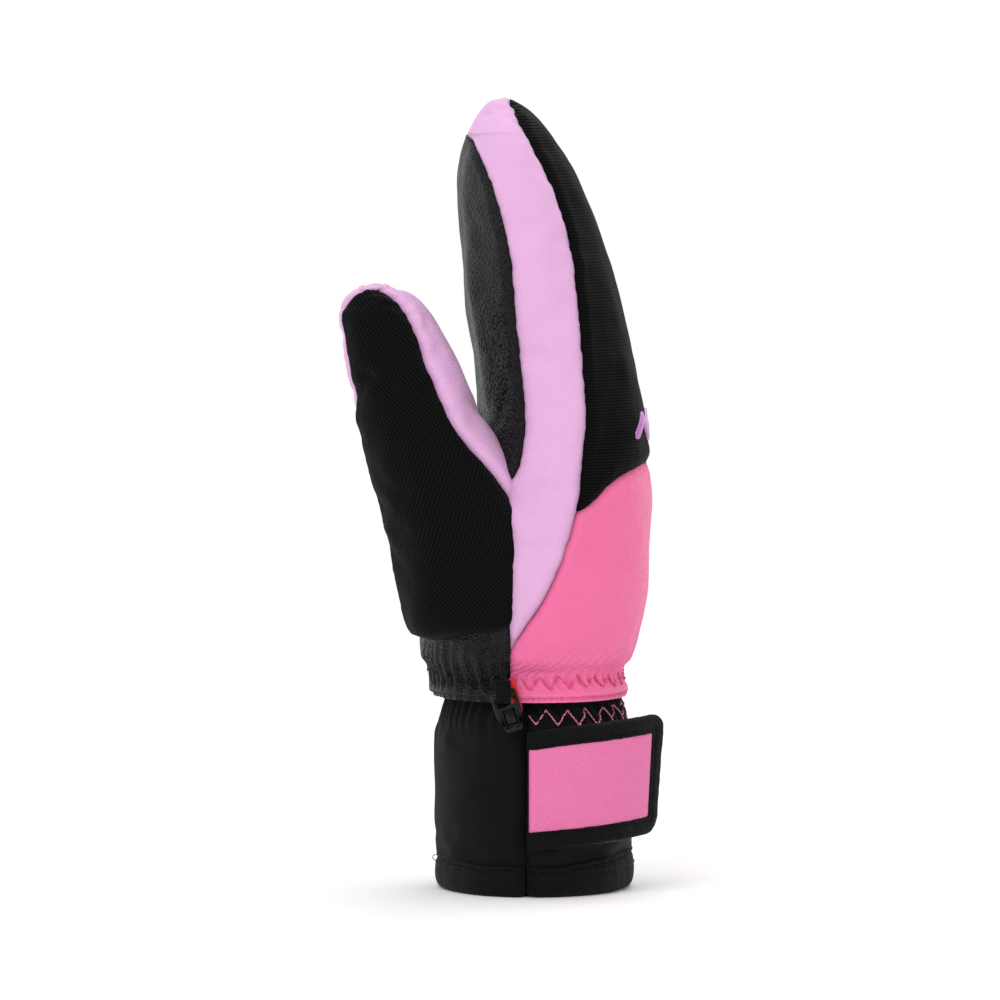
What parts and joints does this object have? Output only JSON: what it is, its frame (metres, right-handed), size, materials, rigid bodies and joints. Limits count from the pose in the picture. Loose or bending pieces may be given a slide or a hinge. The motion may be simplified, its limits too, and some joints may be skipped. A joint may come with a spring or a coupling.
{
  "type": "ski mitten",
  "caption": "Child's padded ski mitten for the right hand: curved finger pocket, separate thumb, gathered wrist, bound cuff, hook-and-loop wrist strap and a pairing clip.",
  "frame": {"origin": "ground level under the middle of the mitten's bounding box, with the mitten standing on its cuff", "axes": "+Z towards the fingertips, +X towards the back of the hand, -X towards the palm, -Y towards the thumb side"},
  "size_m": [0.0976, 0.0958, 0.2399],
  "materials": {
    "palm_leather": "semi-gloss grained",
    "lilac_cloth": "satin weave",
    "pink_cloth": "satin weave",
    "black_cloth": "matt weave",
    "cuff_cloth": "matt knit",
    "strap_cloth": "matt twill",
    "tape": "matt twill",
    "wadding": "soft",
    "fleece": "brushed",
    "elastic": "matt",
    "clip_plastic": "gloss",
    "tab_red": "matt",
    "label_grey": "matt",
    "emblem_foil": "metallic sheen"
  },
  "bodies": {
    "hand": {"palm_panel_hand": "palm_leather", "back_panel_lower": "pink_cloth", "back_panel_hand": "black_cloth", "side_gusset_thumb_side": "lilac_cloth", "side_gusset_little_side": "lilac_cloth", "padding_hand": "wadding", "lining_hand": "fleece", "wrist_elastic": "elastic", "cuff_palm_panel": "cuff_cloth", "cuff_back_panel": "black_cloth", "cuff_elastic": "elastic", "cuff_lining": "fleece", "hem_binding_palm": "tape", "hem_binding_back": "tape", "care_label": "label_grey", "loop_tape": "tape", "emblem": "emblem_foil", "clip_tape": "tape", "side_tab": "tab_red"},
    "fingers": {"palm_panel_fingers": "palm_leather", "back_panel_fingers": "black_cloth", "side_gusset_fingers": "lilac_cloth", "padding_fingers": "wadding", "lining_fingers": "fleece"},
    "thumb": {"thumb_back_panel": "black_cloth", "thumb_palm_panel": "palm_leather", "thumb_gusset": "lilac_cloth", "thumb_padding": "wadding", "thumb_lining": "fleece"},
    "strap": {"strap_backing": "tape", "strap_binding": "tape", "strap_face": "strap_cloth", "strap_hook_tape": "tape"},
    "clip": {"clip_frame": "clip_plastic"},
    "clip_tongue": {"clip_tongue": "clip_plastic"}
  },
  "joints": [
    {"name": "finger_flex", "type": "hinge", "parent": "hand", "child": "fingers", "pos_m": [-0.0091, 0.00197, 0.1503], "axis": [0, -1, 0], "range_deg": [0, 30], "stiffness_Nm_per_rad": 0.5},
    {"name": "thumb_spread", "type": "hinge", "parent": "hand", "child": "thumb", "pos_m": [-0.0287, -0.02003, 0.077], "axis": [0, -1, 0], "range_deg": [0, 20], "stiffness_Nm_per_rad": 0.25},
    {"name": "strap_peel", "type": "hinge", "parent": "hand", "child": "strap", "pos_m": [0.0081, -0.03393, 0.0328], "axis": [0, 0, -1], "range_deg": [0, 100]},
    {"name": "clip_swing", "type": "hinge", "parent": "hand", "child": "clip", "pos_m": [0.001, -0.03623, 0.0612], "axis": [-0.9511, 0, -0.309], "range_deg": [0, 90]},
    {"name": "clip_tongue_flex", "type": "hinge", "parent": "clip", "child": "clip_tongue", "pos_m": [0.00251, -0.03603, 0.05654], "axis": [0.9511, 0, 0.309], "range_deg": [0, 12], "stiffness_Nm_per_rad": 0.02}
  ]
}
